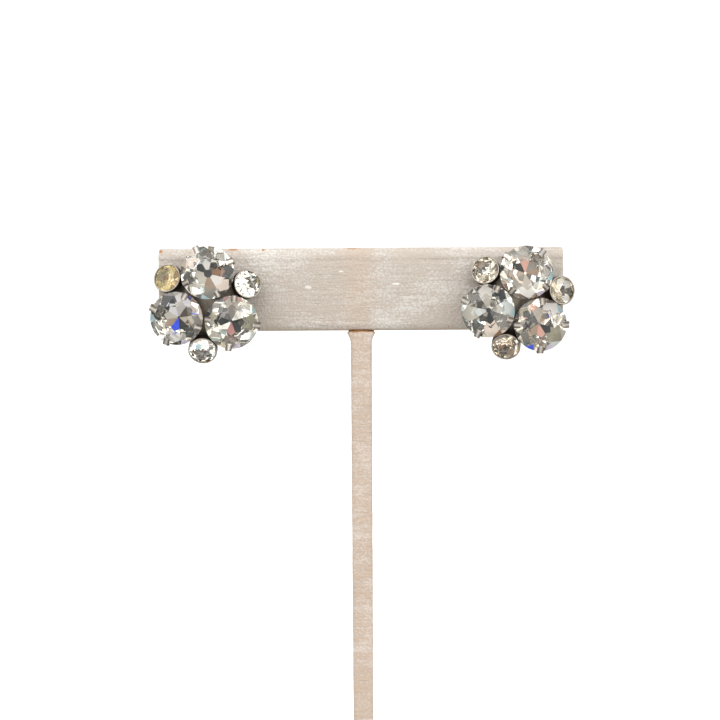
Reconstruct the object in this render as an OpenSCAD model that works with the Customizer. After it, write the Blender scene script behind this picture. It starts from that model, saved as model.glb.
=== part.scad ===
// A pair of clear rhinestone cluster earrings clipped on a covered T-bar display stand.
// X runs to the right and Y away from the viewer. The origin is the middle of the base's underside.

/* [Stand] */
// Height of the stand from the table to the top of the bar
stand_height = 146; // [130:1:170]
// Length of the cross bar
bar_length = 87; // [80:1:100]
// Height of the cross bar
bar_height = 17.8; // [16.5:0.1:20]
// Depth of the cross bar from front to back
bar_depth = 6; // [5.6:0.1:8]
// Width and depth of the square post
post_width = 4.4; // [3.6:0.1:4.6]
// Width of the base
base_width = 63.5; // [50:0.5:80]
// Depth of the base
base_depth = 50.8; // [40:0.2:70]
// Height of the base
base_height = 9.5; // [8:0.5:14]

/* [Earrings] */
// Diameter of a large stone
large_diameter = 11.3; // [10.6:0.1:11.3]
// Diameter of a small stone
small_diameter = 5.7; // [5.2:0.1:5.9]
// Distance of a large stone from the middle of the left cluster
left_large_ring = 6.76; // [6.66:0.02:7.1]
// Distance of a large stone from the middle of the right cluster
right_large_ring = 6.66; // [6.66:0.02:7.1]
// Distance of a small stone from the middle of the left cluster
left_small_ring = 9.8; // [9.6:0.05:10.3]
// Distance of a small stone from the middle of the right cluster
right_small_ring = 9.64; // [9.6:0.02:10.3]
// Height of the large girdles above the bar's face
large_lift = 6.3; // [6.3:0.1:7.5]
// Height of the small girdles above the bar's face
small_lift = 4.3; // [4.2:0.1:4.6]
// Outward lean of the large stones in degrees
large_lean = 7; // [4:1:9]
// Outward lean of the small stones in degrees
small_lean = 26; // [20:1:28]
// Distance of the left cluster from the middle of the bar
left_offset = 33; // [31:0.1:35]
// Distance of the right cluster from the middle of the bar
right_offset = 33.3; // [31:0.1:35]
// Distance of both clusters below the middle of the bar
cluster_drop = 2.8; // [2:0.1:4]
// Clockwise turn of the left cluster in degrees
left_turn = 4.5; // [0:0.5:15]
// Clockwise turn of the right cluster in degrees
right_turn = 15; // [0:0.5:15]

/* [Hidden] */

ivory = [0.89, 0.87, 0.81];
rhodium = [0.72, 0.72, 0.7];
glass = [0.86, 0.9, 0.92];

// Middle of the bar's height
bar_middle = stand_height - bar_height / 2;
// Soft radius of the bar's long edges, of its ends and of the base's edges
bar_round = 2.2;
bar_end_round = 0.4;
base_round = 1.4;
// Corner radius of the base seen from above
base_corner = 4;
// Rise of the bar's face between its long edges
face_rise = 0.5;
post_round = 0.7;
// Square tenon on top of the post that goes up into the bar
tenon_width = 3;
// How far the post goes into the base, and what is left of the bar above the tenon
post_seat = 6;
bar_cap = 1;
// Running gap of the post in its sockets
fit_gap = 0.1;
// Flare of the cover where the post meets the bar: how far it spreads to a side, and its height
flare_reach = 0.75;
flare_height = 2.6;

// Gap between the bar's face and a back plate, and the plate's thickness
plate_gap = 0.15;
plate_thick = 0.9;
plate_radius = 8.3;
lobe_radius = 2.4;

// Proportions of a brilliant, as shares of its diameter
table_share = 0.55;
crown_share = 0.142;
pavilion_share = 0.41;
girdle_share = 0.027;
star_share = 0.775;
break_share = 0.7;

// Clearance under a large stone, wall and floor of its cup, radius of the flat floor, and how
// far the cup's rim stays inside the girdle
cup_gap = 0.28;
cup_wall = 0.35;
cup_floor = 0.75;
cup_well = 1.7;
cup_inset = 0.1;

// Prongs: width, how far they reach over the crown, how far inside the girdle they leave the
// cup, and how far below the girdle they bend up
prong_width = 1.3;
prong_fold = 1.35;
prong_root = 0.8;
prong_bend = 0.45;
// A prong past this angle from the outward direction has a neighbour beside it
crowded_from = 95;
// Distance from the girdle and thickness of a prong: on its own, and beside a neighbour
free_stand = 0.17;
free_thick = 0.32;
tight_stand = 0.03;
tight_thick = 0.15;
// Height of a prong's tip over the cone through the crown's corners, and of its fold over the
// girdle's edge inside and outside
tip_rise = 0.27;
fold_inside = 0.03;
fold_outside = 0.1;
// How far a prong sinks into its cup's wall
prong_sink = 0.05;

// Bezel cups: gap beside the stone and under it, wall, height of the rim over the girdle, lip
// over the stone, bevel of the rim's corners, height of the straight wall and radius of the foot
bezel_gap = 0.05;
bezel_seat = 0.15;
bezel_wall = 0.2;
bezel_rim = 0.42;
bezel_lip = 0.08;
bezel_bevel = 0.06;
bezel_straight = 1.2;
bezel_foot = 1.6;
riser_radius = 1.5;
riser_top = 1.6;

// Clip: strip width, thickness, bend, foot on the plate, gap to the bar, and paddle
clip_width = 5;
clip_thick = 0.7;
clip_bend = 1.3;
clip_foot = 1.8;
clip_gap = 0.15;
paddle_radius = 4.2;
paddle_rise = 0.4;

// Columns of the stone tables: clock angle on the ring, turn of the facets, culet radius and,
// for a large stone, turn of its prongs
clock = 0;
facet_turn = 1;
culet = 2;
prong_turn = 3;
left_large = [
    [0, 12, 0.9, -28],
    [120, 31, 0.3, -28],
    [240, 5, 0.25, 48]
];
right_large = [
    [0, 20, 0.3, 25],
    [120, 8, 0.25, 45],
    [240, 39, 0.55, 38]
];
left_small = [
    [60, 10, 0.2],
    [180, 35, 0.2],
    [300, 20, 0.25]
];
right_small = [
    [60, 25, 0.2],
    [180, 0, 0.2],
    [300, 40, 0.2]
];
smooth = 72;

// Rounded rectangle about the origin
module soft_square(width, height, radius) {
    square([width - 2 * radius, height], center = true);
    square([width, height - 2 * radius], center = true);
    for (x = [-1, 1])
        for (y = [-1, 1])
            translate([x * (width / 2 - radius), y * (height / 2 - radius)])
                circle(radius, $fn = smooth);
}

// Block with soft edges all round, standing on its underside
module soft_block(width, depth, height, edge, corner) {
    translate([0, 0, height / 2])
        intersection() {
            linear_extrude(height, center = true)
                soft_square(width, depth, corner);
            rotate([90, 0, 0])
                linear_extrude(depth, center = true)
                    soft_square(width, height, edge);
            rotate([90, 0, 90])
                linear_extrude(width, center = true)
                    soft_square(depth, height, edge);
        }
}

module stand_base() {
    socket = post_width + 2 * fit_gap;
    color(ivory)
        difference() {
            soft_block(base_width, base_depth, base_height, base_round, base_corner);
            translate([-socket / 2, -socket / 2, base_height - post_seat - fit_gap])
                cube([socket, socket, base_height]);
        }
}

module stand_post() {
    foot = base_height - post_seat;
    shoulder = stand_height - bar_height - fit_gap;
    sweep = (pow(flare_height, 2) + pow(flare_reach, 2)) / (2 * flare_reach);
    color(ivory) {
        translate([0, 0, foot])
            linear_extrude(shoulder - foot)
                soft_square(post_width, post_width, post_round);
        translate([-tenon_width / 2, -tenon_width / 2, foot])
            cube([tenon_width, tenon_width, stand_height - bar_cap - fit_gap - foot]);
        translate([0, 0, shoulder])
            rotate([90, 0, 0])
                linear_extrude(post_width - post_round, center = true)
                    difference() {
                        translate([-post_width / 2 - flare_reach, -flare_height])
                            square([post_width + 2 * flare_reach, flare_height]);
                        for (side = [-1, 1])
                            translate([side * (post_width / 2 + sweep), -flare_height])
                                circle(sweep, $fn = smooth * 2);
                    }
    }
}

// Side view of the bar: soft corners and a face that swells a little
module bar_section() {
    swell = (pow(bar_height / 2, 2) + pow(face_rise, 2)) / (2 * face_rise);
    intersection() {
        soft_square(bar_depth, bar_height, bar_round);
        translate([swell - bar_depth / 2, 0])
            circle(swell, $fn = smooth * 4);
    }
}

module stand_bar() {
    socket = tenon_width + 2 * fit_gap;
    color(ivory)
        translate([0, 0, bar_middle])
            difference() {
                intersection() {
                    rotate([90, 0, 90])
                        linear_extrude(bar_length, center = true)
                            bar_section();
                    rotate([90, 0, 0])
                        linear_extrude(bar_depth * 2, center = true)
                            soft_square(bar_length, bar_height, bar_end_round);
                    linear_extrude(bar_height * 2, center = true)
                        soft_square(bar_length, bar_depth, bar_end_round);
                }
                translate([-socket / 2, -socket / 2, -bar_height])
                    cube([socket, socket, bar_height * 1.5 - bar_cap]);
            }
}

// Points of one level of a stone
function level(radius, height, count, first) = [
    for (i = [0 : count - 1])
        let (a = first + i * 360 / count)
            [radius * cos(a), radius * sin(a), height]
];

// Height of the crown's main facets, and depth of the pavilion's, at a distance towards a corner
function crown_at(d, x) =
    d * girdle_share / 2 + d * crown_share * (d / 2 - x) / (d / 2 * (1 - table_share));
function pavilion_at(d, x) =
    -d * girdle_share / 2 - d * pavilion_share * (d / 2 - x) / (d / 2);

// Round brilliant with its girdle's middle at the origin and its table up
module brilliant(d, culet_radius) {
    turn = 22.5;
    radius = d / 2;
    star = radius * star_share;
    broken = radius * break_share;
    points = concat(
        level(radius * table_share, crown_at(d, radius * table_share), 8, 0),
        level(star, crown_at(d, star * cos(turn)), 8, turn),
        level(radius, crown_at(d, radius), 16, 0),
        level(radius, pavilion_at(d, radius), 16, 0),
        level(broken, pavilion_at(d, broken * cos(turn)), 8, turn),
        level(culet_radius, pavilion_at(d, culet_radius * cos(turn)), 8, turn)
    );
    // First point of each level
    stars = 8;
    upper = 16;
    lower = 32;
    breaks = 48;
    tip = 56;
    faces = concat(
        [[for (i = [7 : -1 : 0]) i]],
        [[for (i = [0 : 7]) tip + i]],
        [for (i = [0 : 7]) [i, (i + 1) % 8, stars + i]],
        [for (i = [0 : 7]) [i, stars + i, upper + 2 * i, stars + (i + 7) % 8]],
        [for (i = [0 : 7]) [stars + i, upper + 2 * i + 1, upper + 2 * i]],
        [for (i = [0 : 7]) [stars + i, upper + (2 * i + 2) % 16, upper + 2 * i + 1]],
        [for (i = [0 : 15]) [upper + i, upper + (i + 1) % 16, lower + (i + 1) % 16, lower + i]],
        [for (i = [0 : 7]) [breaks + i, lower + 2 * i, lower + 2 * i + 1]],
        [for (i = [0 : 7]) [breaks + i, lower + 2 * i + 1, lower + (2 * i + 2) % 16]],
        [for (i = [0 : 7]) [lower + 2 * i, breaks + i, tip + i, tip + (i + 7) % 8, breaks + (i + 7) % 8]]
    );
    polyhedron(points, faces, convexity = 2);
}

// Cup under a large stone: a cone that follows the pavilion down to a flat floor
module large_cup() {
    d = large_diameter;
    rim = d / 2 - cup_inset;
    floor_at = pavilion_at(d, 0) - cup_gap;
    rotate_extrude($fn = smooth)
        polygon([
            [0, floor_at],
            [cup_well, floor_at],
            [cup_well, pavilion_at(d, cup_well) - cup_gap],
            [rim, pavilion_at(d, rim) - cup_gap],
            [rim, pavilion_at(d, rim) - cup_gap - cup_wall],
            [cup_well + cup_wall, pavilion_at(d, cup_well) - cup_gap - cup_wall],
            [cup_well + cup_wall, floor_at - cup_floor],
            [0, floor_at - cup_floor]
        ]);
}

// One prong, pointing along +X: up past the girdle and folded over the crown
module prong(stand, thick) {
    d = large_diameter;
    radius = d / 2;
    root = radius - prong_root;
    inner = radius + stand;
    outer = inner + thick;
    end = radius - prong_fold;
    wall = pavilion_at(d, root) - cup_gap;
    shoulder = crown_at(d, radius);
    tip = crown_at(d, end) + tip_rise;
    spread = 2 * asin(prong_width / radius);
    intersection() {
        rotate([0, 0, -spread / 2])
            rotate_extrude(angle = spread, $fn = smooth)
                polygon([
                    [root, wall - prong_sink],
                    [inner, -prong_bend],
                    [inner, shoulder + fold_inside],
                    [end, tip],
                    [end + thick / 2, tip + thick * 0.7],
                    [inner + thick / 4, shoulder + fold_outside + thick],
                    [outer, shoulder + fold_outside],
                    [outer, -prong_bend - prong_sink],
                    [root + 2 * prong_sink, wall - cup_wall]
                ]);
        translate([0, 0, -radius])
            linear_extrude(d) {
                translate([end + prong_width / 2, -prong_width / 2])
                    square([prong_fold + 1, prong_width]);
                translate([end + prong_width / 2, 0])
                    circle(prong_width / 2, $fn = smooth);
            }
    }
}

// Closed cup of a small stone, with a thin rim rolled just over the girdle
module bezel_cup() {
    d = small_diameter;
    inner = d / 2 + bezel_gap;
    outer = inner + bezel_wall;
    lip = d / 2 - bezel_lip;
    floor_at = pavilion_at(d, 0) - bezel_seat;
    foot_at = floor_at - bezel_wall * 3;
    rotate_extrude($fn = smooth)
        polygon([
            [0, floor_at],
            [bezel_wall * 4, floor_at],
            [inner, pavilion_at(d, d / 2) - bezel_seat],
            [inner, crown_at(d, d / 2) + bezel_bevel],
            [lip, bezel_rim - 2 * bezel_bevel],
            [lip, bezel_rim - bezel_bevel],
            [lip + bezel_bevel, bezel_rim],
            [outer - bezel_bevel, bezel_rim],
            [outer, bezel_rim - bezel_bevel],
            [outer, -bezel_straight],
            [bezel_foot, foot_at],
            [0, foot_at]
        ]);
}

// Puts its children on a ring about the middle of a cluster, leaning outwards, with +Y outwards
module on_ring(clock_angle, ring, lift, lean) {
    rotate([0, 0, -clock_angle])
        translate([0, ring, lift])
            rotate([-lean, 0, 0])
                children();
}

// Puts a cluster on the bar's face: its own +Z faces the viewer and its +Y points up
module on_bar(offset, turn) {
    translate([offset, -bar_depth / 2, bar_middle - cluster_drop])
        rotate([90, 0, 0])
            rotate([0, 0, -turn])
                children();
}

module large_stone(row, ring) {
    on_ring(row[clock], ring, large_lift, large_lean)
        rotate([0, 0, row[facet_turn]])
            brilliant(large_diameter, row[culet]);
}

module small_stone(row, ring) {
    on_ring(row[clock], ring, small_lift, small_lean)
        rotate([0, 0, row[facet_turn]])
            brilliant(small_diameter, row[culet]);
}

// Angle of a prong from the outward direction, from 0 to 180
function from_outward(a) = abs((a + 540) % 360 - 180);

module setting(large, large_ring, small, small_ring) {
    foot = pavilion_at(small_diameter, 0) - bezel_seat - bezel_wall * 3;
    riser_ring = small_ring + foot * sin(small_lean);
    translate([0, 0, plate_gap])
        linear_extrude(plate_thick) {
            circle(plate_radius, $fn = smooth);
            for (row = small)
                rotate(-row[clock])
                    translate([0, riser_ring])
                        circle(lobe_radius, $fn = smooth);
        }
    for (row = small) {
        rotate([0, 0, -row[clock]])
            translate([0, riser_ring, plate_gap + plate_thick / 2])
                cylinder(riser_top - plate_gap - plate_thick / 2, r = riser_radius, $fn = smooth);
        on_ring(row[clock], small_ring, small_lift, small_lean)
            bezel_cup();
    }
    for (row = large)
        on_ring(row[clock], large_ring, large_lift, large_lean) {
            large_cup();
            for (quarter = [0 : 90 : 270]) {
                a = row[prong_turn] + quarter;
                crowded = from_outward(a) > crowded_from;
                rotate([0, 0, 90 - a])
                    prong(crowded ? tight_stand : free_stand, crowded ? tight_thick : free_thick);
            }
        }
}

// Spring clip: a foot on the back plate, a strip under the bar and a paddle on its back
module clip(turn) {
    front = plate_gap;
    back = -bar_depth - clip_gap - clip_thick;
    // The strip is as far down as its corner needs to clear the bar when the cluster is turned
    corner = clip_width / 2 * sin(turn);
    under = (bar_height / 2 - cluster_drop + clip_gap + corner) / cos(turn);
    low = -under - clip_thick;
    rotate([90, 0, 90])
        linear_extrude(clip_width, center = true) {
            translate([low - clip_foot, front - clip_thick])
                square([clip_foot + clip_thick, clip_thick]);
            translate([low, back + clip_bend])
                square([clip_thick, front - back - clip_bend]);
            translate([low + clip_bend, back])
                square([paddle_rise - low - clip_bend, clip_thick]);
            translate([low + clip_bend, back + clip_bend])
                intersection() {
                    difference() {
                        circle(clip_bend, $fn = smooth);
                        circle(clip_bend - clip_thick, $fn = smooth);
                    }
                    translate([-clip_bend, -clip_bend])
                        square(clip_bend);
                }
        }
    translate([0, paddle_rise, back])
        cylinder(clip_thick, r = paddle_radius, $fn = smooth);
}

module left_place() {
    on_bar(-left_offset, left_turn)
        children();
}

module right_place() {
    on_bar(right_offset, right_turn)
        children();
}

module left_setting() {
    color(rhodium)
        left_place()
            setting(left_large, left_large_ring, left_small, left_small_ring);
}

module left_clip() { color(rhodium) left_place() clip(left_turn); }
module left_large_top() { color(glass) left_place() large_stone(left_large[0], left_large_ring); }
module left_large_right() { color(glass) left_place() large_stone(left_large[1], left_large_ring); }
module left_large_left() { color(glass) left_place() large_stone(left_large[2], left_large_ring); }
module left_small_right() { color(glass) left_place() small_stone(left_small[0], left_small_ring); }
module left_small_bottom() { color(glass) left_place() small_stone(left_small[1], left_small_ring); }
module left_small_left() { color(glass) left_place() small_stone(left_small[2], left_small_ring); }

module right_setting() {
    color(rhodium)
        right_place()
            setting(right_large, right_large_ring, right_small, right_small_ring);
}

module right_clip() { color(rhodium) right_place() clip(right_turn); }
module right_large_top() { color(glass) right_place() large_stone(right_large[0], right_large_ring); }
module right_large_right() { color(glass) right_place() large_stone(right_large[1], right_large_ring); }
module right_large_left() { color(glass) right_place() large_stone(right_large[2], right_large_ring); }
module right_small_right() { color(glass) right_place() small_stone(right_small[0], right_small_ring); }
module right_small_bottom() { color(glass) right_place() small_stone(right_small[1], right_small_ring); }
module right_small_left() { color(glass) right_place() small_stone(right_small[2], right_small_ring); }

stand_base();
stand_post();
stand_bar();
left_setting();
left_clip();
left_large_top();
left_large_right();
left_large_left();
left_small_right();
left_small_bottom();
left_small_left();
right_setting();
right_clip();
right_large_top();
right_large_right();
right_large_left();
right_small_right();
right_small_bottom();
right_small_left();
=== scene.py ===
# Pair of clear rhinestone cluster earrings clipped on an ivory covered T-bar display stand.
# Lengths are metres. X runs to the right, Y away from the viewer and Z up, as in the frame.
import math
import random
from collections import namedtuple

import bmesh
import bpy
from mathutils import Matrix, Vector, noise


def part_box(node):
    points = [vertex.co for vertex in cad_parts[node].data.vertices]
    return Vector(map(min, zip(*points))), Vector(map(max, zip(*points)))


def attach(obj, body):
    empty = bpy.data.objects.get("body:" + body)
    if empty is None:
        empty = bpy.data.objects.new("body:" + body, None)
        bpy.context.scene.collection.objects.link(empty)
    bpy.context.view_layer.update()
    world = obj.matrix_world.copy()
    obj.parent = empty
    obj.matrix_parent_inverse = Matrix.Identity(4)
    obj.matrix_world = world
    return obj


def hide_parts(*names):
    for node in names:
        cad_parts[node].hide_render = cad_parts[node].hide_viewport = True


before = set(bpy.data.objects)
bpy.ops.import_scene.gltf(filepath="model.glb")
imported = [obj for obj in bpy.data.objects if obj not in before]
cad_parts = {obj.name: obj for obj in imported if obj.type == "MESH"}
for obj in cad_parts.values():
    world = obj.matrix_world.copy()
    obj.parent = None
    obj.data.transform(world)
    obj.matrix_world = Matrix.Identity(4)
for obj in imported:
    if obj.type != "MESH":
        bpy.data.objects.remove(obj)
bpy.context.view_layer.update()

bl_info = {
    "name": "Rhinestone Cluster Earrings on a Stand",
    "version": (1, 0, 0),
    "blender": (4, 5, 0),
    "location": "3D View > Sidebar > Earrings",
    "description": "Builds a pair of rhinestone cluster earrings and the covered T-bar stand under them",
    "category": "Add Mesh",
}

MM = 0.001
BODY = "root"
BAR_LOW, BAR_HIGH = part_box("stand_bar")
POST_LOW, POST_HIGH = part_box("stand_post")
BASE_LOW, BASE_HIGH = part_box("stand_base")
BAR_SIZE, BASE_SIZE = BAR_HIGH - BAR_LOW, BASE_HIGH - BASE_LOW
BAR_MIDDLE = (BAR_LOW.z + BAR_HIGH.z) / 2

# Rounding of the bar's ends, and the crease below its upper edge
END_ROUND, CREASE_DROP, CREASE_WIDTH = 0.4 * MM, 2.75 * MM, 0.34 * MM
# The post: its rounding and taper, the glue on top of it, its tenon, the gap in its sockets and the bar above
POST_ROUND, POST_TAPER, GLUE_HEIGHT = 0.75 * MM, 0.3 * MM, 0.4 * MM
TENON_WIDTH, SOCKET_GAP, BAR_CAP = 3.0 * MM, 0.1 * MM, 1.0 * MM
# Corners of the facets: the girdle as a share of the diameter, and the others as shares of the radius
GIRDLE, STAR_REACH, BREAK_REACH, KITE_REACH, KITE_TIP = 0.027, 0.775, 0.7, 0.42, 0.52
# The cup under a large stone: gap under the stone, and its flat floor's radius and thickness
CUP_GAP, CUP_WELL, CUP_FLOOR = 0.28 * MM, 1.7 * MM, 0.75 * MM
# The cup of a small stone: gaps beside and under the stone, straight wall, foot, and its riser's top
BEZEL_GAP, BEZEL_SEAT, BEZEL_STRAIGHT = 0.05 * MM, 0.15 * MM, 1.2 * MM
BEZEL_FOOT, RISER_TOP = 1.6 * MM, 1.6 * MM
# A prong's rounded top and its tip over the crown. One past the angle has a neighbour beside it, and is thin
PRONG_CROWN, TIP_RISE, CROWDED_FROM, PRONG_SWAY = 0.12 * MM, 0.27 * MM, math.radians(95), math.radians(2)
# The clip's foot behind the plate, its gap to the bar, and the paddle's middle over the cluster's
CLIP_FOOT, CLIP_GAP, PADDLE_RISE = 1.8 * MM, 0.15 * MM, 0.4 * MM
IMAGE_WIDTH = 720
FLOOR_RADIUS = 3.0
METAL_SHARP, COVER_SHARP = math.radians(35), math.radians(50)

# Pairs of values are for these sides, or for these sizes of stone
SIDES, SIZES = ("left", "right"), ("large", "small")
LARGE, SMALL = 0, 1


def linear(hex_colour):
    """Linear red, green, blue and alpha of an sRGB hex colour."""
    parts = [int(hex_colour[i:i + 2], 16) / 255 for i in (1, 3, 5)]
    return tuple(c / 12.92 if c <= 0.04045 else ((c + 0.055) / 1.055) ** 2.4 for c in parts) + (1.0,)


def number(name, about, value, unit="LENGTH"):
    """Property for millimetres, degrees or a plain number, or for a pair of them."""
    scale = {"LENGTH": MM, "ROTATION": math.radians(1)}.get(unit, 1)
    settings = {"name": name, "description": about, "unit": unit, "precision": 5}
    if isinstance(value, tuple):
        return bpy.props.FloatVectorProperty(default=[part * scale for part in value], size=2, **settings)
    return bpy.props.FloatProperty(default=value * scale, **settings)


def share(name, about, value):
    return bpy.props.FloatProperty(
        name=name, description=about, default=value, min=0, max=2, precision=3, subtype="FACTOR")


def colour(name, about, hex_colour):
    return bpy.props.FloatVectorProperty(
        name=name, description=about, default=linear(hex_colour), size=4, min=0, max=1, subtype="COLOR")


class StandSizes(bpy.types.PropertyGroup):
    """Sizes of the bar, the post and the base"""
    bar_length: number("Bar length", "Length of the cross bar", BAR_SIZE.x / MM)
    bar_depth: number("Bar depth", "Depth of the cross bar", BAR_SIZE.y / MM)
    bar_height: number("Bar height", "Height of the cross bar", BAR_SIZE.z / MM)
    top_round: number("Top rounding", "Radius of the bar's upper edges", 2.4)
    low_round: number("Lower rounding", "Radius of the bar's lower edges", 1.7)
    face_rise: number("Face rise", "Swell of the bar's face between its long edges", 0.5)
    crease: number("Crease depth", "Depth of the crease below the bar's upper edge", 0.13)
    post_width: number("Post width", "Width and depth of the square post", (POST_HIGH - POST_LOW).y / MM)
    flare_reach: number("Flare reach", "How far the cover spreads at each side under the bar", 0.75)
    flare_height: number("Flare height", "Height of the spread under the bar", 2.6)
    base_edge: number("Base edge", "Radius of the base's edges", 1.4)
    base_corner: number("Base corner", "Corner radius of the base from above", 4.0)
    wrinkle: number("Wrinkle height", "Height of the cover's soft wrinkles", 0.07)


class StoneSizes(bpy.types.PropertyGroup):
    """Sizes and proportions of the cut stones"""
    diameter: number("Diameters", "Diameters of a large and a small stone", (11.3, 5.7))
    table: share("Table", "Width of the table as a share of the diameter", 0.55)
    crown: share("Crown", "Height of the crown as a share of the diameter", 0.142)
    pavilion: share("Pavilion", "Depth of the pavilion as a share of the diameter", 0.41)


class ClusterSizes(bpy.types.PropertyGroup):
    """Where the clusters sit on the bar, and where the stones sit in them"""
    offset: number("Offsets", "Places of the left and right cluster along the bar", (-33.0, 33.3))
    drop: number("Drop", "Distance of both clusters below the bar's middle", 2.8)
    turn: number("Turns", "Clockwise turns of the left and right cluster", (4.5, 15), "ROTATION")
    large_ring: number("Large rings", "Radius of the large stones' ring, left and right", (6.76, 6.66))
    small_ring: number("Small rings", "Radius of the small stones' ring, left and right", (9.8, 9.64))
    lift: number("Lifts", "Height of the large and small girdles above the bar's face", (6.3, 4.3))
    lean: number("Leans", "Outward lean of the large and small stones", (7, 26), "ROTATION")


class SettingSizes(bpy.types.PropertyGroup):
    """Sizes of the soldered metal behind and round the stones"""
    plate_gap: number("Plate gap", "Gap between the bar and the back plate", 0.15)
    plate_thick: number("Plate thickness", "Thickness of the back plate", 0.9)
    plate_radius: number("Plate radius", "Radius of the back plate", 8.3)
    lobe_radius: number("Lobe radius", "Radius of the plate's lobes behind the small stones", 2.4)
    cup_wall: number("Cup wall", "Wall of a large cup", 0.35)
    prong_width: number("Prong width", "Width of a prong", 1.3)
    prong_fold: number("Prong fold", "How far a prong reaches over its stone", 1.35)
    prong_stand: number("Prong stand-off", "Distance of outer and inner prongs from the girdle", (0.17, 0.03))
    prong_thick: number("Prong thickness", "Thickness of outer and inner prongs", (0.32, 0.15))
    bezel_wall: number("Bezel wall", "Wall of a small cup", 0.2)
    bezel_rim: number("Bezel rim", "Height of the rolled rim over the girdle", 0.42)
    bezel_lip: number("Bezel lip", "How far the rolled rim comes in over the stone", 0.08)
    riser_radius: number("Riser radius", "Radius of the riser under a small cup", 1.5)


class ClipSizes(bpy.types.PropertyGroup):
    """Sizes of the spring clips behind the bar"""
    width: number("Strip width", "Width of the spring strip", 5.0)
    thick: number("Strip thickness", "Thickness of the spring strip", 0.7)
    bend: number("Bend", "Outer radius of the strip's bends", 1.3)
    paddle_radius: number("Paddle radius", "Radius of the round paddle", 4.2)


class Finishes(bpy.types.PropertyGroup):
    """Colours of the cover, the metal and the stones"""
    ivory_light: colour("Light ivory", "Raised parts of the embossed cover", "#CFCBC5")
    # Dark ivory is painted shade in the hollows between the pebbles, and the darker side of the random mottle
    # and wrinkles
    ivory_dark: colour("Dark ivory", "Hollows and handled parts of the embossed cover", "#B3A89C")
    ivory_rose: colour("Rosy ivory", "Faint cast of the post and the middle of the bar", "#C49D7C")
    # Painted shade: a brownish darkening along the bar's lower edge, which faces down
    darkened: colour("Shaded edge", "Brownish soil along the bar's lower edge", "#A8957F")
    # The pale scuffs are rubbed wear painted pale, standing also for the sheen on them: a painted highlight
    scuff_and_sheen: colour("Scuff", "Pale scuffs where the grain is rubbed", "#F4F1EC")
    core: colour("Board core", "Brown board where the cover has worn through", "#A6774A")
    glue: colour("Glue line", "Amber glue between the post and the bar", "#93673A")
    rhodium: colour("Rhodium", "Bright plating of the prongs and rims", "#F1EFEB")
    # The tarnish colour is partly real tarnish and partly painted shade under the stones; the darkest colour
    # below is painted shade in the gaps between the cups
    tarnish: colour("Tarnish", "Thin brown film on the plating", "#A0968A")
    gap_shade: colour("Shadow", "Thick dark film in the gaps between the cups", "#4E463B")
    glass: colour("Glass", "Body of the clear stones", "#FDFEFC")
    aged_glass: colour("Aged glass", "Body of the dulled stone", "#FBF8EA")


class Studio(bpy.types.PropertyGroup):
    """Camera and lights"""
    camera_distance: number("Camera distance", "Distance of the camera from the bar's face", 420)
    camera_side: number("Camera side", "Sideways place of the point that the camera looks at", -0.3)
    camera_height: number("Camera height", "Height of the point that the camera looks at", 121.93)
    elevation: number("Elevation", "How far the camera looks down", 3.72, "ROTATION")
    roll: number("Roll", "Clockwise roll of the camera", 0.344, "ROTATION")
    focal_pixels: number("Focal length", "Focal length in pixels, for an image 720 wide", 1951, "NONE")
    front_level: share("Front level", "Brightness of the room behind the camera, against the rest", 1.6)
    glass_level: share("Glass level", "Brightness of the room seen through the stones, against the rest", 1.9)
    key_power: number("Key power", "Power of the soft key light", 1.2, "POWER")
    front_power: number("Front power", "Power of the small front light", 0.45, "POWER")


SETTINGS = {
    "stand_sizes": StandSizes,
    "stone_sizes": StoneSizes,
    "cluster_sizes": ClusterSizes,
    "setting_sizes": SettingSizes,
    "clip_sizes": ClipSizes,
    "finishes": Finishes,
    "studio": Studio,
}

# Greys that most foiled facets have, from bright to dim, and those of stones that differ
QUIET = ("#FFFFFF", "#FDFBF6", "#E4E0D8", "#BDBAB4", "#83817D")
DULLED = ("#F6F0DC", "#EDE4C8", "#F8F4E4", "#DDD2B2", "#E8DEC2")
FRESH = ("#FFFFFF", "#FFFEFB", "#FAF8F2", "#FFFFFF", "#EDEAE2")
WARM = ("#FFFDF8", "#FDF8F0", "#F4EDE1", "#DAD0C0", "#A69D8D")
DIM = ("#ECE8E0", "#E0DBD2", "#D2CDC3", "#B8B2A8", "#9B958A")
# Painted reflections: colours painted on single foil facets where the stones show dark reflections and
# flashes of colour, named for what they look like in the stone
PAINTED_FLASHES = {
    "soot": "#434646", "smoke": "#A5A19B", "ash": "#DDD8CE", "pearl": "#FFFDFA", "moss": "#B2AD98",
    "brown": "#A98468", "umber": "#B8A28F", "straw": "#FFF4D6", "honey": "#E2D0A6", "peach": "#FFEEE2",
    "mist": "#E9F1F2", "salmon": "#EDBBAC", "rose": "#CF9896", "lilac": "#F0E6FA", "sky": "#D6F5FF",
    "blue": "#4563FF",
}
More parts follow.
